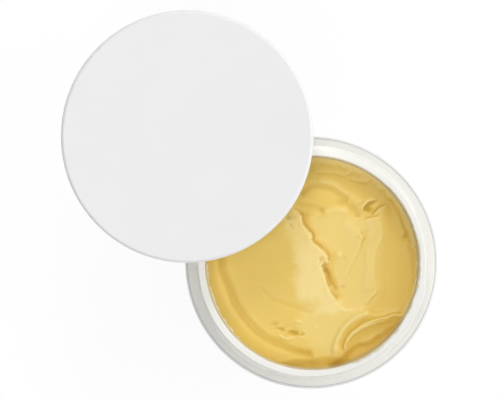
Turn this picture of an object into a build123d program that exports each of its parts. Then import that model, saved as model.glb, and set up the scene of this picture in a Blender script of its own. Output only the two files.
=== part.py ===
from build123d import *
import math
import os

# Double-walled screw-top jar of shoe cream, with its lid taken off and laid across its rim.
# The origin is the centre of the jar's underside, +Z is up, and the lid lies towards -X and +Y.

# Neck of the inner cup: a standard 89 mm screw finish, given at the root of its thread
neck_root_diameter = 86.2
neck_height = 13.2
neck_wall = 2.7
thread_rise = 1.2
rim_edge_radius = 0.5
neck_foot_chamfer = 0.5

# Outer shell of the jar
body_height = 50.0
shoulder_width = 4.9
shell_wall = 1.6
shell_floor = 1.8
shell_lip = 0.8
lip_chamfer = 0.15
foot_width = 5.0
foot_depth = 0.8
foot_edge_radius = 2.0
gate_diameter = 4.0
gate_height = 0.4

# Inner cup
cup_wall = 1.6
cup_floor = 1.6
cup_corner_radius = 7.0
cup_corner_chamfer = 4.5
under_cup_gap = 5.6
flange_thickness = 1.8
spigot_wall = 1.4
spigot_depth = 5.0

# Snap beads, which hold the cup in the shell and the insert in the lid
bead_rise = 0.3
bead_base = 1.4
bead_tip = 0.6
cup_bead_below_flange = 3.4
insert_bead_above_edge = 3.0

# Lid: a smooth skin over a threaded insert, with a loose foam liner
lid_wall = 1.3
lid_top = 1.6
lid_edge_radius = 1.3
lid_mouth_chamfer = 0.3
insert_wall = 1.1
insert_top = 1.2
insert_recess = 0.4
insert_mouth_chamfer = 0.4
liner_thickness = 1.5
liner_bead_rise = 0.3
liner_bead_height = 0.5

# Cream, and the strokes of the fingers that took some of it
headspace = 7.0
wall_groove_radius = 3.0
wall_groove_inset = 5.2
wall_groove_depth = 0.7

# Clearances of the fits
snap_clearance = 0.1
cream_clearance = 0.1
liner_clearance = 0.1
thread_clearance = 0.3
shoulder_clearance = 0.5
lid_rest_gap = 0.3

# Where the lid lies, from the jar's axis to its own
lid_distance = 66.7
lid_direction = 134.6

# Sizes that follow from those above
neck_root_radius = neck_root_diameter / 2
bore_radius = neck_root_radius - neck_wall
body_radius = neck_root_radius + shoulder_width
shell_inner_radius = body_radius - shell_wall
shell_floor_top = foot_depth + shell_floor
flange_seat = body_height - flange_thickness
rebate_radius = body_radius - shell_lip
flange_radius = rebate_radius - snap_clearance
spigot_radius = shell_inner_radius - snap_clearance
cup_bead_height = flange_seat - cup_bead_below_flange
cup_underside = shell_floor_top + under_cup_gap
cup_floor_top = cup_underside + cup_floor
rim_height = body_height + neck_height

cream_radius = bore_radius - cream_clearance
cream_underside = cup_floor_top + cream_clearance
cream_level = rim_height - headspace

# The lid's heights are counted from its own lower edge
insert_bore_radius = neck_root_radius + thread_rise + thread_clearance
insert_radius = insert_bore_radius + insert_wall
insert_bead_height = insert_recess + insert_bead_above_edge
lid_bore_radius = insert_radius + snap_clearance
lid_radius = lid_bore_radius + lid_wall
liner_radius = insert_bore_radius - liner_clearance
liner_underside = neck_height - shoulder_clearance
insert_ceiling = liner_underside + liner_thickness
lid_ceiling = insert_ceiling + insert_top
lid_height = lid_ceiling + lid_top
liner_bead_top = liner_underside - liner_clearance

lid_x = lid_distance * math.cos(math.radians(lid_direction))
lid_y = lid_distance * math.sin(math.radians(lid_direction))
lid_z = rim_height + lid_rest_gap

jar_section = Plane.XZ
jar_axis = Axis.Z
lid_section = Plane(origin=(lid_x, lid_y, lid_z), x_dir=(1, 0, 0), z_dir=(0, -1, 0))
lid_axis = Axis((lid_x, lid_y, lid_z), (0, 0, 1))


def ring(inner, outer, low, high, mode=Mode.ADD):
    """Half section of a ring between two radii and two heights."""
    with Locations((inner, low)):
        Rectangle(outer - inner, high - low, align=(Align.MIN, Align.MIN), mode=mode)


def snap_bead(radius, middle, clearance=0.0, mode=Mode.ADD):
    """Half section of a snap bead standing out of a wall at this radius, or of its groove."""
    base = bead_base / 2 + clearance
    tip = bead_tip / 2 + clearance
    Polygon(
        (radius - bead_rise, middle - base),
        (radius, middle - base),
        (radius + bead_rise, middle - tip),
        (radius + bead_rise, middle + tip),
        (radius, middle + base),
        (radius - bead_rise, middle + base),
        align=None,
        mode=mode,
    )


def edges_at(part, height, radius, axis):
    """The circular edges of a part at one height above its axis's start, and of one radius."""
    level = axis.position.Z + height
    circles = part.edges().filter_by(GeomType.CIRCLE)
    at_height = circles.filter_by(lambda edge: abs(edge.arc_center.Z - level) < 1e-4)
    return at_height.filter_by(lambda edge: abs(edge.radius - radius) < 1e-4)


def scoop(start, middle, end, radius, depth):
    """Cuts the round channel of a fingertip that dips into the cream and comes out again.

    The three places are given as shares of the cup's bore radius.
    """
    skim = cream_level + radius
    with BuildLine() as path:
        ThreePointArc(
            Vector(start[0] * bore_radius, start[1] * bore_radius, skim),
            Vector(middle[0] * bore_radius, middle[1] * bore_radius, skim - depth),
            Vector(end[0] * bore_radius, end[1] * bore_radius, skim),
        )
    with BuildSketch(Plane(origin=path.line @ 0, z_dir=path.line % 0)) as fingertip:
        Circle(radius)
    sweep(sections=fingertip.sketch, path=path.line, mode=Mode.SUBTRACT)


# Outer shell: floor with a foot ring, straight wall, and a rebate that the cup's flange drops into
foot_radius = body_radius - foot_edge_radius
with BuildPart() as jar_shell:
    with BuildSketch(jar_section):
        ring(0, body_radius, 0, body_height)
        ring(0, shell_inner_radius, shell_floor_top, body_height, Mode.SUBTRACT)
        ring(0, rebate_radius, flange_seat, body_height, Mode.SUBTRACT)
        ring(0, foot_radius - foot_width, 0, foot_depth, Mode.SUBTRACT)
        ring(0, gate_diameter / 2, foot_depth - gate_height, foot_depth)
        snap_bead(shell_inner_radius, cup_bead_height, snap_clearance, Mode.SUBTRACT)
    revolve(axis=jar_axis)
    fillet(edges_at(jar_shell.part, 0, body_radius, jar_axis), foot_edge_radius)
    chamfer(edges_at(jar_shell.part, body_height, body_radius, jar_axis), lip_chamfer)
    chamfer(edges_at(jar_shell.part, shell_floor_top, shell_inner_radius, jar_axis), shell_wall)
jar_shell.part.label = "jar_shell"

# Inner cup: rounded bowl, neck and mouth, shoulder flange, and a spigot that snaps into the shell
with BuildPart() as inner_cup:
    with BuildSketch(jar_section):
        ring(0, bore_radius + cup_wall, cup_underside, body_height)
        ring(bore_radius, neck_root_radius, flange_seat, rim_height)
        ring(bore_radius, flange_radius, flange_seat, body_height)
        ring(spigot_radius - spigot_wall, spigot_radius, flange_seat - spigot_depth, flange_seat)
        snap_bead(spigot_radius, cup_bead_height)
        ring(0, bore_radius, cup_floor_top, rim_height, Mode.SUBTRACT)
    revolve(axis=jar_axis)
    outer_corner = edges_at(inner_cup.part, cup_underside, bore_radius + cup_wall, jar_axis)
    chamfer(outer_corner, cup_corner_chamfer)
    fillet(edges_at(inner_cup.part, cup_floor_top, bore_radius, jar_axis), cup_corner_radius)
    fillet(edges_at(inner_cup.part, rim_height, bore_radius, jar_axis), rim_edge_radius)
    fillet(edges_at(inner_cup.part, rim_height, neck_root_radius, jar_axis), rim_edge_radius)
    chamfer(edges_at(inner_cup.part, body_height, neck_root_radius, jar_axis), neck_foot_chamfer)
inner_cup.part.label = "inner_cup"

# Cream: filled to its level, with a groove wiped along the wall and the hollow that fingers left,
# whose strokes overlap and leave ridges between them
with BuildPart() as shoe_cream:
    with BuildSketch(jar_section):
        ring(0, cream_radius, cream_underside, cream_level)
    revolve(axis=jar_axis)
    lower_edge = edges_at(shoe_cream.part, cream_underside, cream_radius, jar_axis)
    fillet(lower_edge, cup_corner_radius - cream_clearance)
    with BuildSketch(jar_section):
        groove_height = cream_level + wall_groove_radius - wall_groove_depth
        with Locations((bore_radius - wall_groove_inset, groove_height)):
            Circle(wall_groove_radius)
    revolve(axis=jar_axis, mode=Mode.SUBTRACT)
    scoop((-0.16, 0.66), (0.29, 0.08), (0.36, -0.46), radius=7, depth=6.4)
    scoop((-0.36, 0.62), (0.30, 0.60), (0.86, 0.22), radius=8, depth=4.6)
    scoop((0.40, 0.50), (0.51, 0.04), (0.42, -0.44), radius=6, depth=5.6)
    scoop((0.72, 0.60), (0.80, 0.04), (0.68, -0.48), radius=6.5, depth=4.8)
    scoop((0.28, -0.88), (0.63, -0.67), (0.86, -0.34), radius=5, depth=3.4)
shoe_cream.part.label = "shoe_cream"

# Skin of the lid: flat top with a small edge radius over a plain skirt, grooved inside for the insert
with BuildPart() as lid_shell:
    with BuildSketch(lid_section):
        ring(0, lid_radius, 0, lid_height)
        ring(0, lid_bore_radius, 0, lid_ceiling, Mode.SUBTRACT)
        snap_bead(lid_bore_radius, insert_bead_height, snap_clearance, Mode.SUBTRACT)
    revolve(axis=lid_axis)
    fillet(edges_at(lid_shell.part, lid_height, lid_radius, lid_axis), lid_edge_radius)
    chamfer(edges_at(lid_shell.part, 0, lid_radius, lid_axis), lid_mouth_chamfer)
    chamfer(edges_at(lid_shell.part, 0, lid_bore_radius, lid_axis), lid_mouth_chamfer)
lid_shell.part.label = "lid_shell"

# Insert: the cap that screws onto the neck, with a small bead below the liner to keep it in
with BuildPart() as lid_insert:
    with BuildSketch(lid_section):
        ring(0, insert_radius, insert_recess, lid_ceiling)
        snap_bead(insert_radius, insert_bead_height)
        ring(0, insert_bore_radius, insert_recess, insert_ceiling, Mode.SUBTRACT)
        bead_bore = insert_bore_radius - liner_bead_rise
        ring(bead_bore, insert_bore_radius, liner_bead_top - liner_bead_height, liner_bead_top)
    revolve(axis=lid_axis)
    chamfer(edges_at(lid_insert.part, insert_recess, insert_bore_radius, lid_axis), insert_mouth_chamfer)
    chamfer(edges_at(lid_insert.part, insert_recess, insert_radius, lid_axis), insert_mouth_chamfer)
lid_insert.part.label = "lid_insert"

# Liner: a foam wad that seals on the rim, loose enough to stay still while the lid is turned
with BuildPart() as lid_liner:
    with BuildSketch(lid_section):
        ring(0, liner_radius, liner_underside, insert_ceiling)
    revolve(axis=lid_axis)
lid_liner.part.label = "lid_liner"

os.makedirs("parts", exist_ok=True)
for piece in (jar_shell, inner_cup, shoe_cream, lid_shell, lid_insert, lid_liner):
    export_step(piece.part, f"parts/{piece.part.label}.step")
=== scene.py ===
"""Screw-top jar of shoe cream with its lid off: cream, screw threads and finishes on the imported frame."""

import math

import bmesh
import bpy
import numpy as np
from bpy.props import FloatProperty, FloatVectorProperty, IntProperty, PointerProperty
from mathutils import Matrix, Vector


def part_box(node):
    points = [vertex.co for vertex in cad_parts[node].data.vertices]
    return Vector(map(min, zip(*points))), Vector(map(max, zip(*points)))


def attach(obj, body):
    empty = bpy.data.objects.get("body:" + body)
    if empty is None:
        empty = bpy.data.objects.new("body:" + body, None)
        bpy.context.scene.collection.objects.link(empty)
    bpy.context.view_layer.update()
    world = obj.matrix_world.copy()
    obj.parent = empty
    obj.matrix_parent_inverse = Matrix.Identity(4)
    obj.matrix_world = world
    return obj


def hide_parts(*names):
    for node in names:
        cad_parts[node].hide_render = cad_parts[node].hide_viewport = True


bl_info = {
    "name": "Shoe Cream Jar",
    "version": (1, 0, 0),
    "blender": (4, 5, 0),
    "location": "View3D > Sidebar > Shoe Cream Jar",
    "description": "Builds the cream, threads, finishes and stage of a screw-top jar",
    "category": "Object",
}

MM = 0.001

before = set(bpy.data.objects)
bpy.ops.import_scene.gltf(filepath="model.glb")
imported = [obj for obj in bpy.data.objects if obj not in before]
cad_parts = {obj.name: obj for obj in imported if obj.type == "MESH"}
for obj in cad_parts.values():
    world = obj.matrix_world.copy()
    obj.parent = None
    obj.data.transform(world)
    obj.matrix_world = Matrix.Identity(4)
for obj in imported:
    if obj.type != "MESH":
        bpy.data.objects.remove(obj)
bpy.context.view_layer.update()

CREAM_LOW, CREAM_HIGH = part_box("shoe_cream")
_, CUP_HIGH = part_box("inner_cup")
INSERT_LOW, INSERT_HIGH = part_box("lid_insert")
LID_AXIS = ((INSERT_LOW.x + INSERT_HIGH.x) / 2, (INSERT_LOW.y + INSERT_HIGH.y) / 2)

def hex_colour(code):
    """A written sRGB colour such as "#F4E3A1" as the linear numbers that shaders use."""
    channels = [int(code[i : i + 2], 16) / 255 for i in (1, 3, 5)]
    return tuple(c / 12.92 if c <= 0.04045 else ((c + 0.055) / 1.055) ** 2.4 for c in channels)


# -------- Sizes and colours that a user would change

# The scooped surface starts this far below the top of the plain solid.
LEVEL_DROP = 0.4 * MM


def length_setting(name, description, default):
    """A length that a user can change."""
    return FloatProperty(name=name, description=description, default=default, unit="LENGTH")


def number_setting(name, description, default, least, most):
    """A plain number that a user can change within its limits."""
    return FloatProperty(name=name, description=description, default=default, min=least, max=most)


def colour_setting(name, description, code):
    """A colour that a user can change, first written as sRGB."""
    return FloatVectorProperty(
        name=name,
        description=description,
        default=hex_colour(code),
        subtype="COLOR",
        size=3,
        min=0.0,
        max=1.0,
    )


class CreamSettings(bpy.types.PropertyGroup):
    """The filling: its level, how deep the finger marks are, and its colours."""

    level: length_setting(
        "Fill level", "Height of the untouched surface above the table", CREAM_HIGH.z - LEVEL_DROP
    )
    depth: number_setting(
        "Mark depth", "Depth of the finger marks, 1 being as they were scooped", 1.0, 0.0, 1.5
    )
    divisions: IntProperty(
        name="Divisions",
        description="Mesh rows across the filling",
        default=280,
        min=40,
        max=300,
    )
    colour: colour_setting("Cream", "Colour of the smooth wax cream", "#ECCC68")
    # Painted light: the paler colour over the open middle of the scooped side, away from the shade of the
    # walls and the lid.
    fresh: colour_setting(
        "Freshly scooped cream", "Paler colour where a finger has just worked the cream", "#F0D580"
    )
    # Also the colour of the painted highlight on crests and ridges.
    aerated_and_highlight: colour_setting(
        "Aerated cream", "Palest colour, where the cream is torn and full of fine air", "#F5DF98"
    )
    # Also lightens the film up the cup's wall, partly as painted light against the wall's shade.
    film: colour_setting(
        "Film on the wall", "Near white, where only a thin film is left over the plastic", "#F4F1E2"
    )
    # Painted shade: the deeper colour in grooves and hollows.
    painted_shade: colour_setting("Hollow", "Deeper colour down in the grooves and hollows", "#D3AC3E")


class ThreadSettings(bpy.types.PropertyGroup):
    """The screw thread of the neck and the one that mates with it in the lid."""

    pitch: length_setting("Pitch", "Rise of the thread in one turn", 5.08 * MM)
    crest: length_setting("Neck crest radius", "Outer radius of the thread on the neck", 44.4 * MM)
    root: length_setting("Neck root radius", "Radius of the neck between the turns", 43.1 * MM)
    width: length_setting("Thread width", "Width of the thread where it leaves the wall", 2.4 * MM)
    lid_crest: length_setting("Lid crest radius", "Inner radius of the thread inside the lid", 43.5 * MM)
    turns: number_setting("Turns", "Length of each thread in turns", 1.2, 0.5, 1.5)


class PlasticSettings(bpy.types.PropertyGroup):
    """The whites of the moulded parts and of the foam liner."""

    shell: colour_setting("Shell", "Cool white of the outer shell", "#EBEAEC")
    cup: colour_setting("Inner cup", "Slightly warm white of the inner cup and its neck", "#F4F3ED")
    lid: colour_setting("Lid", "White of the smooth lid skin", "#F0F0F1")
    foam: colour_setting("Foam liner", "White of the foamed liner", "#EDEDE9")


class StageSettings(bpy.types.PropertyGroup):
    """The camera's height, the width it takes in and the level of the lights."""

    camera_height: length_setting("Camera height", "Height of the camera above the table", 1.5)
    view_width: length_setting("View width", "Width seen at the cream's level", 189.5 * MM)
    side_fill: number_setting(
        "Fill from the right", "Brightness of the soft light from the right", 1.6, 0.0, 5.0
    )
    top_fill: number_setting(
        "Fill from above", "Brightness of the soft light from above", 0.38, 0.0, 5.0
    )
    back: number_setting(
        "Back lamp", "Power of the soft lamp behind the jar, in watts", 6.7, 0.0, 100.0
    )
    high: number_setting(
        "High lamp", "Power of the soft lamp high on the left, in watts", 5.9, 0.0, 100.0
    )


# -------- Small tools


def deselect_all():
    """Leaves nothing selected, in object mode."""
    if bpy.context.object and bpy.context.object.mode != "OBJECT":
        bpy.ops.object.mode_set(mode="OBJECT")
    bpy.ops.object.select_all(action="DESELECT")


def start_piece(name):
    """Names the primitive that was just added and returns it."""
    piece = bpy.context.object
    piece.name = name
    piece.data.name = name
    return piece


def settle(piece):
    """Puts the place, turn and size of a finished piece into its mesh."""
    deselect_all()
    piece.select_set(True)
    bpy.context.view_layer.objects.active = piece
    bpy.ops.object.transform_apply(location=True, rotation=True, scale=True)


def select_where(piece, kind, test):
    """In edit mode, selects only the vertices, edges or faces that pass the test."""
    bpy.ops.mesh.select_all(action="DESELECT")
    modes = tuple(kind == part_kind for part_kind in ("verts", "edges", "faces"))
    bpy.context.tool_settings.mesh_select_mode = modes
    mesh = bmesh.from_edit_mesh(piece.data)
    for part in getattr(mesh, kind):
        if test(part):
            part.select_set(True)
    mesh.select_flush_mode()
    bmesh.update_edit_mesh(piece.data)


def face_outward():
    """Turns every face of the active piece outwards, and leaves it in object mode."""
    bpy.ops.object.mode_set(mode="EDIT")
    bpy.ops.mesh.select_all(action="SELECT")
    bpy.ops.mesh.normals_make_consistent(inside=False)
    bpy.ops.object.mode_set(mode="OBJECT")


def places(mesh):
    """The vertices' places as three columns."""
    spots = np.zeros(len(mesh.vertices) * 3)
    mesh.vertices.foreach_get("co", spots)
    return spots.reshape(-1, 3)


def put_places(mesh, spots):
    """Writes the vertices' places back."""
    mesh.vertices.foreach_set("co", spots.ravel())
    mesh.update()


def write_share(mesh, name, values):
    """Keeps one number from 0 to 1 on each vertex for the material to read."""
    attribute = mesh.attributes.new(name, "FLOAT", "POINT")
    attribute.data.foreach_set("value", np.clip(values, 0, 1).astype(np.float32))


def ramp(values, low, high):
    """Rises smoothly from 0 at low to 1 at high."""
    t = np.clip((values - low) / (high - low), 0, 1)
    return t * t * (3 - 2 * t)


# Cells each way before the random waves repeat.
LATTICE = 128


def noise(x, y, size, seed):
    """Smooth random waves from -1 to 1 whose bumps are about size across."""
    rng = np.random.default_rng(seed)
    lattice = rng.uniform(-1, 1, (LATTICE, LATTICE))
    u, v = x / size, y / size
    i, j = np.floor(u).astype(int), np.floor(v).astype(int)
    a, b = u - i, v - j
    a, b = a * a * (3 - 2 * a), b * b * (3 - 2 * b)
    i, j, right, back = i % LATTICE, j % LATTICE, (i + 1) % LATTICE, (j + 1) % LATTICE
    low = lattice[i, j] * (1 - a) + lattice[right, j] * a
    high = lattice[i, back] * (1 - a) + lattice[right, back] * a
    return low * (1 - b) + high * b


def rough_noise(x, y, size, seed, layers=3):
    """Noise with finer and finer bumps on top of each other."""
    total = np.zeros_like(x)
    for layer in range(layers):
        total += noise(x, y, size / 2**layer, seed + layer) / 2**layer
    return total


# -------- The cream: marks in millimetres from the jar's centre, x right and y back

# Edge of the torn crest, from the back to the front.
CREST = (
    (-6.8, 21.2), (-4.2, 18), (-3.5, 15.5), (-2, 13.3), (-0.7, 11.6), (0, 10),
    (0.3, 8.3), (2.2, 6.7), (3.5, 5.8), (4.7, 4.5), (5.7, 3), (6.2, 1.2),
    (6.1, -0.3), (4.4, -0.9), (4.2, -1.7), (4.7, -3.3), (5.3, -5), (6.3, -8),
    (7, -10.5), (7.5, -11.7), (9, -13), (9.8, -14.5),
)  # fmt: skip

# Lowered areas: depth, softness of the edge, share of the painted shade colour, outline.
HOLLOWS = (
    # everything scooped away to the right of the crest
    (1.3, 1.4, 0, CREST + (
        (11, -16.5), (14.5, -17.9), (17, -18), (19.5, -17.4), (21.5, -17.8), (23, -19),
        (27, -19), (33, -18.6), (44, -17), (46, 20), (30, 44), (0, 50), (-16, 42),
    )),
    # one finger's channel along the right wall
    (1.2, 2.2, 0, (
        (29.5, 23.5), (28.4, 19), (29, 14), (28.8, 10), (27, 5), (26.2, 0), (26, -5),
        (26.6, -10.5), (25, -14), (22.5, -17), (26, -18.3), (31, -17.6), (36, -16), (38.4, -9),
        (38.8, 0), (37.6, 8), (35.8, 12.5), (34, 16.5), (31.8, 20.5),
    )),
    # the slope inside the front lip, and the drop beyond it
    (1.3, 2.6, 0, (
        (13, -34.6), (14.6, -31), (17.5, -27.6), (22, -25), (27, -23.3), (32, -22), (36, -21.6),
        (44, -22), (34, -42), (14, -48), (9, -40),
    )),
    (2.2, 1.4, 0.15, (
        (10.5, -37.4), (13, -35), (15.6, -32.6), (18.5, -31), (21.5, -30.4), (24.5, -28.6), (28, -26.4),
        (31, -24.8), (35, -22.6), (44, -22), (34, -42), (14, -48), (6, -44), (7, -39),
    )),
    # the low front edge
    (2.2, 2.0, 0.2, (
        (-18, -40.4), (-11, -38.8), (-5, -37.6), (1, -36.9), (7, -36.8), (11, -37.4), (16, -39), (18, -44),
        (8, -50), (-20, -46),
    )),
    # the band outside the filling swirl
    (0.8, 2.0, 0.5, (
        (-36.2, 8), (-36, -2), (-33.6, -10), (-30.2, -17), (-25, -24), (-18.6, -29.4), (-10.6, -33.4),
        (0, -35.6), (0, -50), (-40, -40), (-50, 8),
    )),
    # where the crumbs were pulled out
    (0.3, 1.2, 0.25, (
        (-16.5, -22.5), (-13, -21.8), (-9, -22.8), (-5, -24.8), (-3, -27), (-5, -28.6), (-9, -28.2),
        (-12.5, -26.6), (-16, -25.2),
    )),
)  # fmt: skip

# Cuts, where the cream to the left of the drawn line has dropped away: height of the lip, how far it
# reaches back, depth at its foot, how far that reaches out, softness, line.
CUTS = (
    # the torn crest
    (0.6, 3.0, 1.5, 1.8, 0.35, CREST),
    # the tip of the central hill, and the faint ridge in front of it
    (0.5, 1.8, 0.35, 2.0, 0.5, (
        (17.6, 12.4), (18.6, 11), (19.4, 9.5), (18.9, 7.8), (18.2, 6), (17.2, 4.2),
    )),
    (0.35, 1.3, 0.3, 2.6, 0.8, ((18.8, 5.6), (16.9, 2.6), (15.2, -0.6), (13.8, -3.4), (12.6, -6))),
    # the back ridge's lip and its long right edge
    (0.4, 1.2, 0.7, 1.0, 0.35, ((19.4, 15.8), (21, 16.7), (23, 17.1), (25, 17.4), (26.2, 17.4))),
    (0.45, 1.5, 0.2, 1.8, 1.3, (
        (26, 17.4), (26.8, 14), (27, 11), (26.6, 8.6), (25.2, 6), (24.3, 3.5), (23.9, 0), (23.8, -4),
        (24.2, -7.5), (25, -10.3),
    )),
    # the tip at the front of the ridge
    (0.4, 1.4, 0.3, 1.5, 0.6, ((25, -9.8), (24.5, -11.6), (22.8, -13.4), (21.2, -15.2), (19.6, -17))),
    # the curl
    (0.6, 1.0, 1.2, 1.5, 0.3, ((25.2, 23.7), (22.4, 23.1), (20.9, 22.1), (19.9, 20.9), (19.4, 19.4))),
    (0.6, 1.7, 0.8, 0.9, 0.3, ((22.6, 17.4), (23.6, 18.8), (25, 20.2), (26.6, 21.2), (29, 22))),
    # the front lip
    (1.0, 1.7, 0.7, 1.1, 0.6, (
        (12, -34), (12.1, -31.6), (12.8, -29.2), (14.2, -27), (16.6, -25), (19.4, -23.1), (22.4, -21.9),
        (25.4, -21), (28.4, -20.2), (31, -19.5), (33.4, -19.4), (35, -20.2),
    )),
    # folds at the back wall
    (0.25, 1.6, 0.3, 1.4, 0.5, (
        (15.4, 34.2), (14.2, 33.5), (12, 32.9), (9, 33.7), (6, 34.1), (3, 34.3), (0, 34),
    )),
    (0.25, 1.4, 0.3, 1.2, 0.5, (
        (21.5, 32.4), (21.8, 31.2), (20.8, 30.2), (18, 30.5), (15, 31.3), (12.6, 32.4),
    )),
    (0.2, 1.2, 0.2, 0.9, 0.4, ((11.8, 35.2), (10.6, 36.9), (9.4, 37.8))),
    # foot of the cream left standing along the right wall
    (0.3, 1.6, 0.45, 1.6, 0.7, (
        (38.4, 6.6), (37.2, 9), (36.4, 11.6), (35, 14.2), (34, 17.6), (32.2, 21.2), (30, 24), (27.6, 25.6),
    )),
)  # fmt: skip

# Long soft marks: height (below 0 a groove), width to the left and right of the way it was drawn, line.
STROKES = (
    # swirl left by filling
    (-0.8, 2.2, 1.4, (
        (-34.9, 4), (-34.7, -1), (-33.8, -4), (-32, -8.5), (-30.5, -12.5), (-29, -16), (-26.5, -20),
        (-23.5, -23.5), (-20.5, -26.5), (-17, -29), (-13, -31), (-9, -32.5), (-5, -33.8), (1, -35.2),
    )),
    (-0.3, 2.4, 1.1, (
        (-20, -8), (-17, -11.5), (-14, -13.8), (-10, -15.5), (-6, -17), (-3, -18), (0.5, -18.5),
    )),
    # shadowed foot of the torn crest
    (-0.7, 1.9, 0.8, ((5.0, -1.4), (5.6, -3.2), (6.5, -6), (7.9, -9), (9.2, -11.5))),
    # sweeps across the back
    (-0.45, 1.5, 1.5, ((-5, 25.6), (-3, 27.5), (0, 28.7), (5, 28.4), (8, 27.1), (12, 24.7), (14, 23.6))),
    (0.35, 2.0, 1.9, ((2, 31.6), (8, 30.2), (11.3, 27.5), (16.7, 24.7), (18.6, 22.2))),
    (-0.4, 1.4, 1.4, ((-6.5, 22.4), (-2, 21.8), (1.8, 21), (4.6, 19))),
    (-0.5, 1.5, 1.5, ((8.4, 23.2), (13, 22.1), (15, 20.6), (16.6, 18.8), (17.8, 16.4))),
    (0.4, 2.0, 1.8, ((4.4, 18.6), (6, 19.4), (9, 20.4), (12, 20.2), (14, 18.6))),
    (0.3, 2.2, 2.2, ((-2.4, 17.6), (0.7, 17.6), (3, 16.6))),
    # back of the hill and the band between it and the channel
    (0.45, 2.4, 2.6, ((11.6, 16), (14, 14), (16.4, 12), (18.2, 10.2))),
    (0.35, 2.0, 1.8, ((21.4, 6), (21.6, 2), (21.4, -3), (21.2, -8), (22, -11))),
    (-0.2, 1.2, 1.4, ((20.6, 14), (20.4, 10.4), (19.6, 7))),
    # front edge of the scooped side
    (0.35, 1.0, 1.3, ((20, -16.4), (17.4, -17.4), (14.6, -17.6), (11.4, -17.2), (9.4, -15))),
    # the fold before the front lip, and the crease down its slope
    (0.65, 1.3, 1.1, (
        (22, -18.9), (18, -20.2), (14.6, -22.2), (11.9, -24.9), (10.2, -28), (9.2, -31), (8.8, -34.4),
    )),
    (0.22, 0.5, 0.5, ((13.8, -30), (14.6, -28.4), (16.8, -26.4), (20, -24.6), (24.6, -23), (29.6, -21.7))),
    # cream left standing along the back and right walls
    (1.6, 2.0, 2.4, (
        (-14, 38), (-4, 39.8), (6, 39.4), (15, 36.9), (23, 32.7),
        (29.6, 27), (34.6, 20.4), (38, 13), (39.8, 5),
    )),
    (1.0, 1.0, 1.4, ((39.8, 6), (40.2, 0), (39.4, -9), (36.6, -16.4), (34.6, -20))),
    # crumbs
    (0.35, 0.5, 0.6, ((-12.4, -26.9), (-11, -28), (-9.2, -28.7), (-7.8, -28.6))),
    (0.25, 0.5, 0.5, ((-15.4, -25.6), (-13.4, -26), (-12, -25.4))),
    (0.3, 0.6, 0.6, ((-7.4, -22.2), (-5.4, -22), (-3.6, -22.8))),
    (0.3, 0.5, 0.6, ((-5.4, -27.8), (-3.6, -28), (-2.4, -27.2))),
)  # fmt: skip

# Round marks: x, y, half length, half width, turn in degrees, height.
LUMPS = (
    (5.6, 0.6, 1.0, 0.9, 0, 0.5),
    (3.4, 1.1, 1.1, 0.6, 60, -0.6),
    (-9.0, 17.5, 0.9, 0.7, 0, -0.6),
    (-8.0, 14.0, 0.6, 1.4, 30, -0.3),
    (19.0, 32.0, 2.2, 0.9, -12, 0.2),
    (11.8, -9.2, 0.9, 0.6, 20, -0.3),
    (23.0, 12.4, 2.8, 4.6, 0, 0.35),
    (18.9, 9.6, 0.9, 0.9, 0, 0.3),
    (10.3, 3.0, 1.5, 1.3, 0, 0.4),
    (12.2, 2.0, 0.8, 1.4, 20, -0.25),
    (21.6, 20.2, 1.5, 1.1, -20, -0.9),
    (36.4, 13.4, 0.9, 1.3, 20, 0.45),
    (35.8, 10.4, 0.8, 1.6, -10, -0.5),
    (37.4, -15.4, 1.0, 1.8, -20, -0.5),
    (9.0, -33.4, 1.7, 1.9, 0, 0.5),
    (-7.0, -26.6, 1.8, 0.8, -8, -0.9),
    (-11.6, -25.2, 1.6, 0.6, -20, -0.5),
    (-3.4, -27.0, 0.7, 0.5, 0, -0.3),
    (-14.0, -23.2, 1.4, 0.7, 0, -0.3),
    (1.4, -24.6, 0.8, 0.8, 0, 0.25),
)

# Outline of the pale, torn strip beside the crest.
TORN_STRIP = (
    (-6.8, 21.2), (-4.2, 18), (-3.5, 15.5), (-2, 13.3), (-0.7, 11.6), (0.1, 10), (0.4, 8.3),
    (2.2, 6.8), (3.6, 5.9), (4.8, 4.6), (5.8, 3.1), (6.4, 1.2), (6.4, -0.4), (4.6, -1.2),
    (4.9, -3.3), (5.5, -5), (6.5, -8), (7.2, -10.5), (8, -12), (10, -14), (11, -17), (8, -19),
    (3, -19), (2.2, -17.5), (2.3, -15.2), (0, -15.4), (-4, -14), (-6, -11), (-7, -7), (-6, -4),
    (-5, -1), (-6.5, 1), (-6.5, 5), (-7.5, 9), (-9, 12), (-10.5, 15), (-12, 18),
)  # fmt: skip

# Outline of the open middle of the scooped side, painted paler as painted light where the walls and the lid
# shade the cream least.
PAINTED_LIGHT_AREA = (
    (-2, 15), (4, 17.5), (10, 20.5), (15, 19), (20, 17.5), (26, 17.5), (27.5, 11), (26, 4),
    (24.6, -4), (25.4, -11), (21.5, -16.5), (17, -21), (13, -25), (11, -30), (10, -35), (6, -34),
    (0, -31), (-4, -26), (-5, -21), (-1, -17), (8, -14), (6, -6), (5, 0), (3, 5), (0, 9),
)  # fmt: skip

# Middle, half length and half width of the patch of crumbs.
CRUMB_PATCH = (-9.5, -26, 6.5, 3.2)

MARK_SCALE = 1.5  # cuts, strokes and lumps stand this many times their listed height
DEEPEST = 4.4  # hollows that overlap level out towards this depth, in millimetres
LONGEST_FADE = 0.45  # most of a mark's length that may fade away at either end

# Painted highlight for each listed millimetre of a ridge or lump, and painted shade for each of a groove.
RIDGE_HIGHLIGHT, GROOVE_SHADE = 0.8, 1.1

# How far above or below its surroundings a spot starts to take a crest's painted highlight or a groove's
# painted shade, and how much further that painted colour is full, in millimetres.
HIGHLIGHT_START, HIGHLIGHT_RANGE = 0.04, 0.3
SHADE_START, SHADE_RANGE = 0.1, 0.5
SURROUNDINGS = 6  # mesh rows each way that a spot is compared with

# The filling below its surface: its rounded lower corner, and the height above its underside of the
# ring where the wall turns level.
CORNER_RADIUS = 7.1 * MM
CORNER_STEPS = 4
LEVEL_RING = 34 * MM

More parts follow.
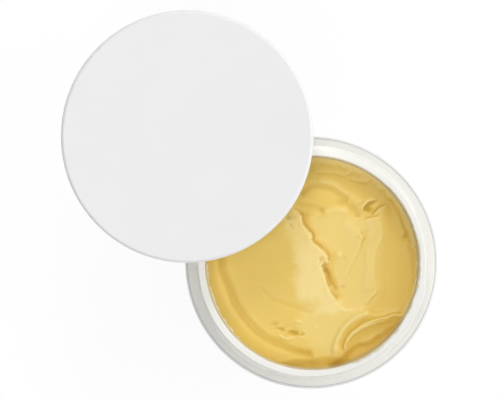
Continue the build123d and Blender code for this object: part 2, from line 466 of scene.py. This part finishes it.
# The cup's mouth and the film on its wall, in millimetres. The film leaves the cream at a radius a
# little inside the wall, climbs on a rounded toe, and then keeps a hair's breadth off the plastic.
BORE_RADIUS = 40.4
RIM_ROUND = 0.5
FILM_GAP = 0.04
FILM_THICKNESS = 0.06
TOE_RADIUS = 39.7
TOE_HEIGHT, TOE_SUNK = 0.8, 0.1
FILM_SIDES, FILM_RINGS = 720, 14

# Where the film goes up over the rim, in degrees: begins, is full, is still full and ends.
TALL_FILM = (-95, -65, 40, 70)


def smooth_line(points, closed=False, steps=5):
    """Points close together on a smooth curve through the given ones."""
    p = np.array(points, float)
    if closed:
        p = np.vstack([p[-1], p, p[:2]])
    else:
        p = np.vstack([2 * p[0] - p[1], p, 2 * p[-1] - p[-2]])
    t = np.linspace(0, 1, steps, endpoint=False)[:, None]
    runs = []
    for a, b, c, d in zip(p, p[1:], p[2:], p[3:]):
        bend = (2 * a - 5 * b + 4 * c - d) * t**2 + (3 * b - a - 3 * c + d) * t**3
        runs.append(0.5 * (2 * b + (c - a) * t + bend))
    return np.vstack(runs + [p[-2:-1]])


def nearest(x, y, line):
    """Distance to the line, which side of it (above 0 is left) and how far along it, from 0 to 1."""
    best = np.full(x.shape, 1e9)
    side = np.zeros_like(x)
    share = np.zeros_like(x)
    for i, (a, b) in enumerate(zip(line, line[1:])):
        dx, dy = b - a
        t = np.clip(((x - a[0]) * dx + (y - a[1]) * dy) / (dx * dx + dy * dy), 0, 1)
        ex, ey = x - a[0] - t * dx, y - a[1] - t * dy
        gap = ex * ex + ey * ey
        closer = gap < best
        best = np.where(closer, gap, best)
        side = np.where(closer, dx * ey - dy * ex, side)
        share = np.where(closer, (i + t) / (len(line) - 1), share)
    return np.sqrt(best), side, share


def inside(x, y, line):
    """True where a spot lies inside the closed line."""
    within = np.zeros(x.shape, bool)
    for (ax, ay), (bx, by) in zip(line, np.roll(line, -1, axis=0)):
        if ay != by:
            beside = (ay > y) != (by > y)
            within ^= beside & (x < (bx - ax) * (y - ay) / (by - ay) + ax)
    return within


def around(x, y, line, margin):
    """The spots that lie near enough to the line to be touched by a mark on it."""
    low, high = line.min(axis=0) - margin, line.max(axis=0) + margin
    return (x > low[0]) & (x < high[0]) & (y > low[1]) & (y < high[1])


def end_fade(share, line, run, past):
    """1 along a mark, falling to its two ends over run millimetres and a little past them."""
    length = np.hypot(*np.diff(line, axis=0).T).sum()
    fade = min(LONGEST_FADE, run / length)
    return ramp(share, -past * fade, fade) * ramp(1 - share, -past * fade, fade)


def add_stroke(z, light_and_shade, x, y, height, left, right, points):
    """Draws a ridge or groove that fades out towards both of its ends, and the painted highlight of the
    ridge or painted shade of the groove.
    """
    line = smooth_line(points)
    near = around(x, y, line, 3 * max(left, right))
    gap, side, share = nearest(x[near], y[near], line)
    width = np.where(side > 0, left, right)
    mark = height * end_fade(share, line, 2.0, 0.35) * np.exp(-((gap / width) ** 2))
    z[near] += mark
    # A ridge adds painted highlight, a groove adds painted shade.
    light_and_shade[near] += np.where(mark > 0, RIDGE_HIGHLIGHT, GROOVE_SHADE) * mark


def add_cut(z, x, y, lip, back, foot, out, softness, points):
    """Raises a sharp lip to the right of the line and drops the cream to the left of it."""
    line = smooth_line(points)
    near = around(x, y, line, 4 * max(back, out))
    gap, side, share = nearest(x[near], y[near], line)
    dropped = ramp(np.where(side > 0, gap, -gap), -softness, softness)
    lipped = (1 - dropped) * lip * np.exp(-gap / back)
    z[near] += end_fade(share, line, 2.5, 0.2) * (lipped - dropped * foot * np.exp(-gap / out))


def oval_share(x, y, middle_x, middle_y, half_length, half_width, turn=0):
    """1 at the middle of a round or oval mark, falling smoothly to 0 outside it."""
    c, s = math.cos(math.radians(turn)), math.sin(math.radians(turn))
    along = ((x - middle_x) * c + (y - middle_y) * s) / half_length
    across = ((y - middle_y) * c - (x - middle_x) * s) / half_width
    return np.exp(-(along * along + across * across))


def area_share(x, y, softness, points):
    """1 well inside the closed outline, 0 well outside it."""
    line = smooth_line(points, closed=True)
    share = np.zeros_like(x)
    near = around(x, y, line, softness)
    gap, _, _ = nearest(x[near], y[near], line)
    gap = np.where(inside(x[near], y[near], line), gap, -gap)
    share[near] = ramp(gap, -softness, softness)
    return share


def blurred(grid, reach):
    """A square grid of heights averaged over a round patch, reach cells wide each way."""
    shifts = range(-reach, reach + 1)
    weights = np.exp(-2 * (np.array(shifts) / reach) ** 2)
    weights /= weights.sum()
    for axis in (0, 1):
        padded = np.pad(grid, reach, mode="edge")
        padded = sum(w * np.roll(padded, shift, axis) for w, shift in zip(weights, shifts))
        grid = padded[reach:-reach, reach:-reach]
    return grid


def disc_places(u, v):
    """Moves the spots of a square grid onto a disc as wide, so that its squares become rings."""
    wide = abs(u) > abs(v)
    reach = np.where(wide, u, v)
    safe = np.where(reach == 0, 1, reach)
    turn = np.where(wide, math.pi / 4 * v / safe, math.pi / 2 - math.pi / 4 * u / safe)
    return reach * np.cos(turn), reach * np.sin(turn)


def stray(x, y, seed):
    """How far a drawn line strays from its place, in fine and in wide waves."""
    return 0.22 * rough_noise(x, y, 1.6, seed) + 0.25 * noise(x, y, 4.5, seed + 10)


def cream_relief(x, y):
    """The cream in millimetres: its height above the untouched level, its painted light and shade (above 0
    a painted highlight, below 0 painted shade), and its torn and crumbly shares.
    """
    stray_x, stray_y = stray(x, y, 11), stray(x, y, 31)
    torn = area_share(x + 3 * stray_x, y + 3 * stray_y, 2.2, TORN_STRIP)
    u = x + stray_x * (0.45 + torn)
    v = y + stray_y * (0.45 + torn)
    ground, marks, light_and_shade = np.zeros_like(x), np.zeros_like(x), np.zeros_like(x)
    for depth, softness, shade_share, points in HOLLOWS:
        share = area_share(u, v, softness, points)
        ground += depth * share
        # Each hollow takes its share of painted shade.
        light_and_shade -= shade_share * share
    for cut in CUTS:
        add_cut(marks, u, v, *cut)
    for stroke in STROKES:
        add_stroke(marks, light_and_shade, u, v, *stroke)
    for *oval, height in LUMPS:
        mark = height * oval_share(u, v, *oval)
        marks += mark
        # A lump adds painted highlight, a dent adds painted shade.
        light_and_shade += RIDGE_HIGHLIGHT * mark
    crumbs = oval_share(u, v, *CRUMB_PATCH)
    z = 0.22 * noise(x, y, 11, 51) + MARK_SCALE * marks - DEEPEST * np.tanh(ground / DEEPEST)
    z += torn * 0.1 * rough_noise(x, y, 2.4, 61)
    z += crumbs * 0.26 * rough_noise(x, y, 2.0, 71)
    return z, light_and_shade, torn, crumbs


class JAR_OT_cream(bpy.types.Operator):
    """Models the wax cream, finger-scooped on its right, in place of its plain solid"""

    bl_idname = "jar.cream"
    bl_label = "Shoe Cream"

    def execute(self, context):
        sizes = context.scene.jar_cream
        deselect_all()
        bpy.ops.mesh.primitive_grid_add(
            x_subdivisions=sizes.divisions,
            y_subdivisions=sizes.divisions,
            size=2 * CREAM_HIGH.x,
            location=(0, 0, sizes.level),
        )
        cream = start_piece("cream_surface")
        settle(cream)
        self.scoop(cream.data, sizes)
        self.close_body(cream, CREAM_HIGH.x, CREAM_LOW.z)
        for face in cream.data.polygons:
            face.use_smooth = True
        cream.data.materials.append(wax_cream(sizes))
        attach(cream, "jar")
        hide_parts("shoe_cream")
        return {"FINISHED"}

    def scoop(self, mesh, sizes):
        """Turns the flat grid into the scooped surface, and notes what the material has to know."""
        spots = places(mesh)
        x, y = disc_places(spots[:, 0], spots[:, 1])
        z, light_and_shade, torn, crumbs = cream_relief(x / MM, y / MM)
        put_places(mesh, np.column_stack([x, y, sizes.level + z * sizes.depth * MM]))
        rows = sizes.divisions + 1
        heights = z.reshape(rows, rows)
        standing = (heights - blurred(heights, SURROUNDINGS)).ravel()
        write_share(mesh, "torn", torn * (1 - 0.4 * ramp(y / MM, 2, 12)))
        write_share(mesh, "crumbs", crumbs)
        # Painted light over the open middle of the scooped side.
        write_share(mesh, "fresh", area_share(x / MM, y / MM, 2.5, PAINTED_LIGHT_AREA))
        # Painted highlight on crests and ridges.
        write_share(mesh, "crest", light_and_shade + (standing - HIGHLIGHT_START) / HIGHLIGHT_RANGE)
        # Painted shade in grooves and hollows.
        write_share(mesh, "groove", -light_and_shade - (standing + SHADE_START) / SHADE_RANGE)
        write_share(mesh, "film", self.wall_film(x / MM, y / MM))

    def wall_film(self, x, y):
        """Where the cream has shrunk to a thin, whitish film on the wall, mostly on the left."""
        out = np.hypot(x, y) + 0.35 * rough_noise(x, y, 1.6, 81)
        left = ramp(-x, 24, 33)
        return ramp(out, 39.9 - 0.7 * left, 40.3 - 0.6 * left)

    def close_body(self, cream, radius, low):
        """Carries the surface down the cup's wall, round its corner and across its floor."""
        rings = [(radius, low + LEVEL_RING), (radius, low + CORNER_RADIUS)]
        for step in range(1, CORNER_STEPS + 1):
            angle = math.pi / 2 * step / CORNER_STEPS
            inset = CORNER_RADIUS * (1 - math.cos(angle))
            rings.append((radius - inset, low + CORNER_RADIUS * (1 - math.sin(angle))))
        bpy.ops.object.mode_set(mode="EDIT")
        select_where(cream, "edges", lambda edge: edge.is_boundary)
        for ring_radius, height in rings:
            bpy.ops.mesh.extrude_region_move()
            mesh = bmesh.from_edit_mesh(cream.data)
            for vertex in mesh.verts:
                if vertex.select:
                    out = vertex.co.xy.normalized() * ring_radius
                    vertex.co = (out.x, out.y, height)
            bmesh.update_edit_mesh(cream.data)
        bpy.ops.mesh.extrude_region_move()
        bpy.ops.mesh.merge(type="CENTER")
        face_outward()


class JAR_OT_cream_film(bpy.types.Operator):
    """Draws the film of cream that clings to the cup's wall, over the rim on the right"""

    bl_idname = "jar.cream_film"
    bl_label = "Film on the Wall"

    def execute(self, context):
        sizes = context.scene.jar_cream
        film = self.flat_ring()
        spots = places(film.data)
        share = np.hypot(spots[:, 0], spots[:, 1]) - 1
        turn = np.arctan2(spots[:, 1], spots[:, 0])
        foot = self.foot(turn, sizes)
        way, reach = self.climb(share, turn, foot)
        out, height = self.wall_place(way, foot)
        put_places(film.data, np.column_stack([out * np.cos(turn), out * np.sin(turn), height]) * MM)
        # Near white towards the film's top edge, where it thins over the white plastic, and paler all over
        # as painted light against the shade of the wall.
        write_share(film.data, "film", 0.3 + 0.7 * ramp(way - reach, -0.9, -0.1))
        sheet = film.modifiers.new("thickness", "SOLIDIFY")
        sheet.thickness = FILM_THICKNESS * MM
        sheet.offset = -1.0
        bpy.ops.object.modifier_apply(modifier=sheet.name)
        face_outward()
        bpy.ops.object.shade_smooth_by_angle(angle=math.radians(60))
        film.data.materials.append(wax_cream(sizes))
        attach(film, "jar")
        return {"FINISHED"}

    def flat_ring(self):
        """A flat ring of even rows, from radius 1 to radius 2."""
        deselect_all()
        bpy.ops.mesh.primitive_circle_add(vertices=FILM_SIDES, radius=1.0)
        film = start_piece("cream_film")
        bpy.ops.object.mode_set(mode="EDIT")
        bpy.ops.mesh.select_all(action="SELECT")
        for ring in range(FILM_RINGS):
            wider = (FILM_RINGS + ring + 1) / (FILM_RINGS + ring)
            bpy.ops.mesh.extrude_region_move()
            bpy.ops.transform.resize(value=(wider, wider, 1), center_override=(0, 0, 0))
        bpy.ops.object.mode_set(mode="OBJECT")
        settle(film)
        return film

    def foot(self, turn, sizes):
        """Height of the cream beside the wall, in millimetres."""
        z = cream_relief(39.8 * np.cos(turn), 39.8 * np.sin(turn))[0]
        return sizes.level / MM + z * sizes.depth

    def wall_height(self, foot):
        """Height of the straight wall between the film's toe and the rounding of the rim."""
        return CUP_HIGH.z / MM - RIM_ROUND - (foot + TOE_HEIGHT - TOE_SUNK)

    def climb(self, share, turn, foot):
        """How far up along the wall each spot of the film lies, and how far the film goes there."""
        x, y = 40 * np.cos(turn), 40 * np.sin(turn)
        angle = np.degrees(turn) + 9 * rough_noise(x, y, 5, 97)
        begins, full, still_full, ends = TALL_FILM
        tall = ramp(angle, begins, full) * ramp(-angle, -ends, -still_full)
        ragged = 0.3 * rough_noise(x, y, 1.4, 91) + 0.2 * noise(x, y, 5, 95)
        reach = 1.7 + tall * (self.wall_height(foot) + 0.3) + ragged
        return share * reach, reach

    def wall_place(self, way, foot):
        """Distance from the axis and height, going out from the cream, up the wall and over the rim.

        The first millimetre of the way is the toe.
        """
        wall = self.wall_height(foot)
        toe = np.clip(way, 0, 1) * math.pi / 2
        over = np.clip((way - 1 - wall) / RIM_ROUND, 0, math.pi / 2)
        flat = np.clip(way - 1 - wall - RIM_ROUND * math.pi / 2, 0, None)
        bend = RIM_ROUND + FILM_GAP
        toe_width = BORE_RADIUS - FILM_GAP - TOE_RADIUS
        out = TOE_RADIUS + toe_width * np.sin(toe) + bend * (1 - np.cos(over)) + flat
        height = foot - TOE_SUNK + TOE_HEIGHT * (1 - np.cos(toe)) + np.clip(way - 1, 0, wall)
        return out, height + bend * np.sin(over)


# -------- Screw threads

RIB_SUNK = 0.35 * MM  # how deep a thread's rib is let into its wall
RIB_EDGE = 0.3 * MM  # rounding of the rib's corners
RIB_STEPS = 160  # sections in one turn of a rib
RUN_OUT = 0.42  # radians over which a rib rises from either end
LEAST_RIB = 0.12  # share of its depth that a rib keeps where it has died away

# Half width of a break in a thread, in degrees: where the rib is gone and where it is whole again.
BREAK_GONE, BREAK_WHOLE = 7, 24


def rib_outline(name, wall, crest, height, width):
    """A rib's outline, let into the wall at its broad foot and half as broad at its crest."""
    outward = 1 if crest > wall else -1
    depth = abs(crest - wall) + RIB_SUNK
    middle = (wall + outward * (depth / 2 - RIB_SUNK), 0, height)
    deselect_all()
    bpy.ops.mesh.primitive_plane_add(size=width, location=middle, rotation=(math.pi / 2, 0, 0))
    rib = start_piece(name)
    settle(rib)
    bpy.ops.object.mode_set(mode="EDIT")
    bpy.ops.mesh.select_all(action="SELECT")
    bpy.ops.transform.resize(value=(depth / width, 1, 1), center_override=middle)
    half = (wall + crest) / 2
    select_where(rib, "verts", lambda v: (v.co.x - half) * outward > 0)
    bpy.ops.transform.resize(value=(1, 1, 0.5), center_override=middle)
    bpy.ops.mesh.bevel(offset=RIB_EDGE, segments=3, affect="VERTICES")
    bpy.ops.mesh.select_all(action="SELECT")
    bpy.ops.mesh.delete(type="ONLY_FACE")
    bpy.ops.object.mode_set(mode="OBJECT")
    return rib


def wind(rib, start_turn, sizes):
    """Sweeps a rib's outline round the jar's axis as it rises."""
    rib.rotation_euler.z = start_turn
    settle(rib)
    winding = rib.modifiers.new("winding", "SCREW")
    winding.axis = "Z"
    winding.angle = 2 * math.pi * sizes.turns
    winding.screw_offset = sizes.pitch * sizes.turns
    winding.steps = winding.render_steps = round(RIB_STEPS * sizes.turns)
    winding.use_smooth_shade = True
    bpy.ops.object.modifier_apply(modifier=winding.name)


def rib_strength(spots, start_height, start_turn, breaks, sizes):
    """1 where a rib stands at its full depth, 0 at its ends and in its breaks."""
    rise = (spots[:, 2] - start_height) / sizes.pitch
    turned = np.arctan2(spots[:, 1], spots[:, 0]) - start_turn
    turned = turned + 2 * math.pi * np.round(rise - turned / (2 * math.pi))
    left = 2 * math.pi * sizes.turns - turned
    strength = ramp(turned, -0.02, RUN_OUT) * ramp(left, -0.02, RUN_OUT)
    gone, whole = math.cos(math.radians(BREAK_GONE)), math.cos(math.radians(BREAK_WHOLE))
    for middle_turn in breaks:
        apart = np.cos(turned + start_turn - middle_turn)
        strength = strength * ramp(-apart, -gone, -whole)
    return strength


def screw_thread(name, axis, wall, crest, start_height, start_turn, sizes, breaks=()):
    """One rib wound round an axis, standing off the wall towards the crest radius.

    It dies away at both ends, and at the breaks, which are angles round the axis.
    """
    rib = rib_outline(name, wall, crest, start_height, sizes.width)
    wind(rib, start_turn, sizes)
    spots = places(rib.data)
    strength = rib_strength(spots, start_height, start_turn, breaks, sizes)
    base = wall - RIB_SUNK if crest > wall else wall + RIB_SUNK
    out = np.hypot(spots[:, 0], spots[:, 1])
    new_out = base + (out - base) * (LEAST_RIB + (1 - LEAST_RIB) * strength)
    spots[:, 0] = spots[:, 0] * new_out / out + axis[0]
    spots[:, 1] = spots[:, 1] * new_out / out + axis[1]
    put_places(rib.data, spots)
    bpy.ops.object.mode_set(mode="EDIT")
    bpy.ops.mesh.select_all(action="SELECT")
    bpy.ops.mesh.fill_holes(sides=0)
    face_outward()
    bpy.ops.object.shade_smooth_by_angle(angle=math.radians(40))
    return rib


class JAR_OT_neck_thread(bpy.types.Operator):
    """Winds the screw thread round the neck of the inner cup"""

    bl_idname = "jar.neck_thread"
    bl_label = "Neck Thread"

    def execute(self, context):
        sizes = context.scene.jar_thread
        below_rim = 1.35 * MM
        top_turn = math.radians(-95)
        thread = screw_thread(
            "neck_thread",
            (0, 0),
            sizes.root,
            sizes.crest,
            CUP_HIGH.z - below_rim - sizes.pitch * sizes.turns,
            top_turn - 2 * math.pi * sizes.turns,
            sizes,
            breaks=(math.radians(-166), math.radians(10)),
        )
        thread.data.materials.append(cup_plastic(context.scene.jar_plastic))
        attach(thread, "jar")
        return {"FINISHED"}


class JAR_OT_lid_thread(bpy.types.Operator):
    """Winds the mating screw thread inside the lid's insert"""

    bl_idname = "jar.lid_thread"
    bl_label = "Lid Thread"

    def execute(self, context):
        sizes = context.scene.jar_thread
        bore = 44.6 * MM
        above_edge = 2.6 * MM
        thread = screw_thread(
            "lid_thread",
            LID_AXIS,
            bore,
            sizes.lid_crest,
            INSERT_LOW.z + above_edge,
            math.radians(192),
            sizes,
        )
        thread.data.materials.append(cup_plastic(context.scene.jar_plastic))
        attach(thread, "lid")
        return {"FINISHED"}


# -------- Materials


def add_node(tree, kind, settings=None, inputs=None):
    """Adds one node, makes its settings, and gives its sockets their links or constants."""
    node = tree.nodes.new(kind)
    for name, value in (settings or {}).items():
        setattr(node, name, value)
    for socket, value in (inputs or {}).items():
        if isinstance(value, bpy.types.NodeSocket):
            tree.links.new(value, node.inputs[socket])
        else:
            node.inputs[socket].default_value = value
    return node


def new_material(name):
    """An empty node material, its tree and its object coordinates."""
    material = bpy.data.materials.new(name)
    material.use_nodes = True
    tree = material.node_tree
    tree.nodes.clear()
    coordinates = add_node(tree, "ShaderNodeTexCoord").outputs["Object"]
    return material, tree, coordinates


def finish_material(tree, inputs):
    """Adds the surface shader and the output."""
    surface = add_node(tree, "ShaderNodeBsdfPrincipled", {}, inputs)
    add_node(tree, "ShaderNodeOutputMaterial", {}, {"Surface": surface.outputs[0]})


def noise_of(tree, where, size, detail, roughness=0.5):
    """Smooth random shading with bumps about size across."""
    inputs = {"Vector": where, "Scale": 1 / size, "Detail": detail, "Roughness": roughness}
    return add_node(tree, "ShaderNodeTexNoise", {}, inputs).outputs[0]


def math_of(tree, operation, *values):
    """One step of arithmetic on links and numbers."""
    inputs = dict(enumerate(values))
    return add_node(tree, "ShaderNodeMath", {"operation": operation}, inputs).outputs[0]


def spread_of(tree, value, from_low, from_high, to_low, to_high):
    """Spreads the values between two numbers over the space between two others."""
    inputs = {
        "Value": value,
        "From Min": from_low,
        "From Max": from_high,
        "To Min": to_low,
        "To Max": to_high,
    }
    return add_node(tree, "ShaderNodeMapRange", {}, inputs).outputs[0]


def bump_of(tree, height, strength, distance):
    """A fine relief that only the light feels."""
    inputs = {"Height": height, "Strength": strength, "Distance": distance}
    return add_node(tree, "ShaderNodeBump", {}, inputs).outputs[0]


def blend_of(tree, share, low, high):
    """Mixes two colours, each a link or linear numbers, by a share."""
    ends = [
        end if isinstance(end, bpy.types.NodeSocket) else (*end, 1) for end in (low, high)
    ]
    inputs = {0: share, 6: ends[0], 7: ends[1]}
    return add_node(tree, "ShaderNodeMix", {"data_type": "RGBA"}, inputs).outputs[2]


def moulded_white(name, colour, roughness, skin, skin_size, depth):
    """Injection-moulded polypropylene.

    A waxy, slightly see-through white: soft highlights, a fine skin from the tool's polish, and
    faint cloudy differences where the melt flowed together.
    """
    if name in bpy.data.materials:
        return bpy.data.materials[name]
    material, tree, where = new_material(name)
    flow = noise_of(tree, where, 18 * MM, 3.0)
    grain = noise_of(tree, where, skin_size, 2.0, 0.6)
    darker = tuple(c * 0.965 for c in colour)
    finish_material(
        tree,
        {
            "Base Color": blend_of(tree, flow, darker, colour),
            "Roughness": spread_of(tree, flow, 0.3, 0.7, roughness - 0.05, roughness + 0.05),
            "Normal": bump_of(tree, grain, skin, depth),
            "IOR": 1.49,
            "Subsurface Weight": 0.12,
            "Subsurface Radius": (1.0, 0.9, 0.8),
            "Subsurface Scale": 0.8 * MM,
        },
    )
    return material


def shell_plastic(colours):
    """The outer shell's satin polypropylene: blasted tool, skin grain about 0.5 mm."""
    return moulded_white("moulded_pp_shell", colours.shell, 0.42, 0.12, 0.5 * MM, 0.05 * MM)


def cup_plastic(colours):
    """The inner cup's polypropylene: polished tool, glossier and smoother."""
    return moulded_white("moulded_pp_cup", colours.cup, 0.3, 0.06, 0.9 * MM, 0.04 * MM)


def lid_plastic(colours):
    """The lid's polypropylene: fine satin skin, grain about 0.4 mm."""
    return moulded_white("moulded_pp_lid", colours.lid, 0.45, 0.1, 0.4 * MM, 0.04 * MM)


def foam(colours):
    """Expanded polyethylene foam.

    A matt, soft white sheet with closed cells a little under half a millimetre across that show as
    fine pits.
    """
    material, tree, where = new_material("expanded_pe_foam")
    cell_inputs = {"Vector": where, "Scale": 1 / (0.45 * MM)}
    cells = add_node(tree, "ShaderNodeTexVoronoi", {}, cell_inputs).outputs["Distance"]
    darker = tuple(c * 0.88 for c in colours.foam)
    finish_material(
        tree,
        {
            "Base Color": blend_of(tree, cells, colours.foam, darker),
            "Normal": bump_of(tree, cells, 0.4, 0.1 * MM),
            "Roughness": 0.75,
            "IOR": 1.49,
            "Subsurface Weight": 0.3,
            "Subsurface Radius": (1.0, 1.0, 1.0),
            "Subsurface Scale": 1.0 * MM,
        },
    )
    return material


def wax_cream(colours):
    """Wax and oil shoe cream, filled warm and scooped by finger.

    Dense and buttery: light sinks a little way in and highlights are broad. The open middle of the scooped
    side is painted paler as painted light, crests carry a painted highlight, the torn strip is palest with
    fine air holes, and grooves and hollows are painted a deeper yellow as painted shade.
    """
    name = "wax_cream"
    if name in bpy.data.materials:
        return bpy.data.materials[name]
    material, tree, where = new_material(name)
    share = {}
    for mark in ("torn", "crumbs", "fresh", "crest", "groove", "film"):
        share[mark] = add_node(tree, "ShaderNodeAttribute", {"attribute_name": mark}).outputs["Fac"]
    cloud = noise_of(tree, where, 7 * MM, 4.0, 0.55)
    fine = noise_of(tree, where, 0.9 * MM, 3.0, 0.6)
    deeper = tuple(c * 0.95 for c in colours.colour)
    colour = blend_of(tree, cloud, deeper, colours.colour)
    # Painted light over the open middle, a painted highlight on crests, and painted shade in grooves and
    # hollows.
    layers = (
        ("fresh", 0.75, colours.fresh),
        ("crest", 0.6, colours.aerated_and_highlight),
        ("groove", 0.65, colours.painted_shade),
    )
    for mark, strength, paint in layers:
        amount = math_of(tree, "MULTIPLY", share[mark], strength)
        colour = blend_of(tree, amount, colour, paint)
    mottled = spread_of(tree, fine, 0.3, 0.62, 0.72, 0.95)
    airy = math_of(tree, "MULTIPLY", share["torn"], mottled)
    colour = blend_of(tree, airy, colour, colours.aerated_and_highlight)
    # Whitish where the cream thins over the wall; on the film piece this is partly painted light against
    # the wall's shade.
    colour = blend_of(tree, share["film"], colour, colours.film)
    torn_bump = math_of(tree, "MULTIPLY_ADD", share["torn"], 0.22, 0.05)
    bump = math_of(tree, "MULTIPLY_ADD", share["crumbs"], 0.3, torn_bump)
    finish_material(
        tree,
        {
            "Base Color": colour,
            "Normal": bump_of(tree, fine, bump, 0.2 * MM),
            "Roughness": 0.42,
            "IOR": 1.44,
            "Subsurface Weight": 0.3,
            "Subsurface Radius": (1.0, 0.85, 0.4),
            "Subsurface Scale": 1.2 * MM,
        },
    )
    return material


class JAR_OT_finishes(bpy.types.Operator):
    """Gives each moulded part and the foam liner its finish"""

    bl_idname = "jar.finishes"
    bl_label = "Plastic and Foam Finishes"

    def execute(self, context):
        colours = context.scene.jar_plastic
        finishes = {
            "jar_shell": shell_plastic(colours),
            "inner_cup": cup_plastic(colours),
            "lid_shell": lid_plastic(colours),
            "lid_insert": cup_plastic(colours),
            "lid_liner": foam(colours),
            "shoe_cream": wax_cream(context.scene.jar_cream),
        }
        for node, material in finishes.items():
            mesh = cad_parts[node].data
            mesh.materials.clear()
            mesh.materials.append(material)
        return {"FINISHED"}


# -------- Stage

TABLE_WIDTH = 8.0
SENSOR_WIDTH = 36.0
VIEW_MIDDLE = (-23.4 * MM, 23.8 * MM)
LAMP_AIM = (0, 0, 60 * MM)


def white_seen(tree, seen_share, lit, white):
    """A white that the eye and reflections see, in place of part of what is lit."""
    path = add_node(tree, "ShaderNodeLightPath").outputs
    mirrored = math_of(tree, "MAXIMUM", path["Is Camera Ray"], path["Is Glossy Ray"])
    any_ray = math_of(tree, "MAXIMUM", mirrored, path["Is Transmission Ray"])
    share = math_of(tree, "MULTIPLY", any_ray, seen_share)
    return add_node(tree, "ShaderNodeMixShader", {}, {0: share, 1: lit, 2: white}).outputs[0]


class JAR_OT_stage(bpy.types.Operator):
    """Sets out the white table, the soft light and the camera above"""

    bl_idname = "jar.stage"
    bl_label = "Table, Light and Camera"

    def execute(self, context):
        sizes = context.scene.jar_stage
        self.table()
        self.surroundings(context.scene, sizes)
        self.lamps(context.scene, sizes)
        self.camera(context.scene, sizes)
        context.scene.view_settings.view_transform = "Standard"
        return {"FINISHED"}

    def table(self):
        """A wide white card, which keeps a faint shadow."""
        deselect_all()
        bpy.ops.mesh.primitive_plane_add(size=TABLE_WIDTH, location=(0, 0, 0))
        card = start_piece("table")
        material, tree, where = new_material("matt_card")
        fibre = noise_of(tree, where, 1.5 * MM, 2.0)
        tint = blend_of(tree, fibre, hex_colour("#F6F6F6"), hex_colour("#FAFAFA"))
        paper = add_node(tree, "ShaderNodeBsdfDiffuse", {}, {"Color": tint, "Roughness": 0.5})
        white = add_node(tree, "ShaderNodeEmission", {}, {"Strength": 1.03})
        seen = white_seen(tree, 0.86, paper.outputs[0], white.outputs[0])
        add_node(tree, "ShaderNodeOutputMaterial", {}, {"Surface": seen})
        card.data.materials.append(material)

    def surroundings(self, scene, sizes):
        """Soft light from the right and from above, seen by the eye and in reflections as white."""
        world = bpy.data.worlds.new("studio")
        world.use_nodes = True
        tree = world.node_tree
        tree.nodes.clear()
        way = add_node(tree, "ShaderNodeTexCoord").outputs["Generated"]
        levels = []
        for direction, strength in (((1, 0, 0), sizes.side_fill), ((0, 0, 1), sizes.top_fill)):
            inputs = {0: way, 1: direction}
            towards = add_node(tree, "ShaderNodeVectorMath", {"operation": "DOT_PRODUCT"}, inputs)
            levels.append(spread_of(tree, towards.outputs["Value"], 0.0, 1.0, 0.0, strength))
        backgrounds = []
        for level in (math_of(tree, "ADD", *levels), 1.0):
            inputs = {"Color": (1, 1, 1, 1), "Strength": level}
            backgrounds.append(add_node(tree, "ShaderNodeBackground", {}, inputs).outputs[0])
        seen = white_seen(tree, 1.0, *backgrounds)
        add_node(tree, "ShaderNodeOutputWorld", {}, {"Surface": seen})
        scene.world = world

    def lamps(self, scene, sizes):
        """One large soft lamp behind the jar and one high on the left."""
        lamps = (
            ("back", (0.0, 1.23, 1.09), 0.7, sizes.back),
            ("high", (-0.48, -0.48, 1.51), 0.8, sizes.high),
        )
        for name, place, width, power in lamps:
            lamp = bpy.data.lights.new(name, "AREA")
            lamp.shape = "DISK"
            lamp.size = width
            lamp.energy = power
            stand = bpy.data.objects.new(name, lamp)
            stand.location = place
            aim = Vector(LAMP_AIM) - stand.location
            stand.rotation_euler = aim.to_track_quat("-Z", "Y").to_euler()
            scene.collection.objects.link(stand)

    def camera(self, scene, sizes):
        """Straight down from above, over the middle of the lid and jar together."""
        lens = bpy.data.cameras.new("camera")
        lens.sensor_width = SENSOR_WIDTH
        lens.lens = SENSOR_WIDTH * (sizes.camera_height - CREAM_HIGH.z) / sizes.view_width
        lens.clip_end = 20.0
        camera = bpy.data.objects.new("camera", lens)
        camera.location = (*VIEW_MIDDLE, sizes.camera_height)
        scene.collection.objects.link(camera)
        scene.camera = camera


# -------- Panel and registration


class JAR_PT_build(bpy.types.Panel):
    """Lists the pieces, their sizes and their colours"""

    bl_idname = "JAR_PT_build"
    bl_label = "Shoe Cream Jar"
    bl_space_type = "VIEW_3D"
    bl_region_type = "UI"
    bl_category = "Shoe Cream Jar"

    def draw(self, context):
        layout = self.layout
        for group, operators in PANEL_ROWS:
            box = layout.box()
            settings = getattr(context.scene, group)
            for name in settings.bl_rna.properties.keys():
                if name not in ("rna_type", "name"):
                    box.prop(settings, name)
            for operator in operators:
                box.operator(operator)


PANEL_ROWS = (
    ("jar_cream", ("jar.cream", "jar.cream_film")),
    ("jar_thread", ("jar.neck_thread", "jar.lid_thread")),
    ("jar_plastic", ("jar.finishes",)),
    ("jar_stage", ("jar.stage",)),
)

SETTINGS = {
    "jar_cream": CreamSettings,
    "jar_thread": ThreadSettings,
    "jar_plastic": PlasticSettings,
    "jar_stage": StageSettings,
}

CLASSES = (
    *SETTINGS.values(),
    JAR_OT_cream,
    JAR_OT_cream_film,
    JAR_OT_neck_thread,
    JAR_OT_lid_thread,
    JAR_OT_finishes,
    JAR_OT_stage,
    JAR_PT_build,
)


def register():
    """Makes the settings, operators and panel known to Blender."""
    for cls in CLASSES:
        bpy.utils.register_class(cls)
    for name, cls in SETTINGS.items():
        setattr(bpy.types.Scene, name, PointerProperty(type=cls))


def unregister():
    """Takes them all away again."""
    for name in SETTINGS:
        delattr(bpy.types.Scene, name)
    for cls in reversed(CLASSES):
        bpy.utils.unregister_class(cls)


def main():
    """Builds every piece in order."""
    register()
    bpy.ops.jar.finishes()
    bpy.ops.jar.cream()
    bpy.ops.jar.cream_film()
    bpy.ops.jar.neck_thread()
    bpy.ops.jar.lid_thread()
    bpy.ops.jar.stage()


if __name__ == "__main__":
    main()
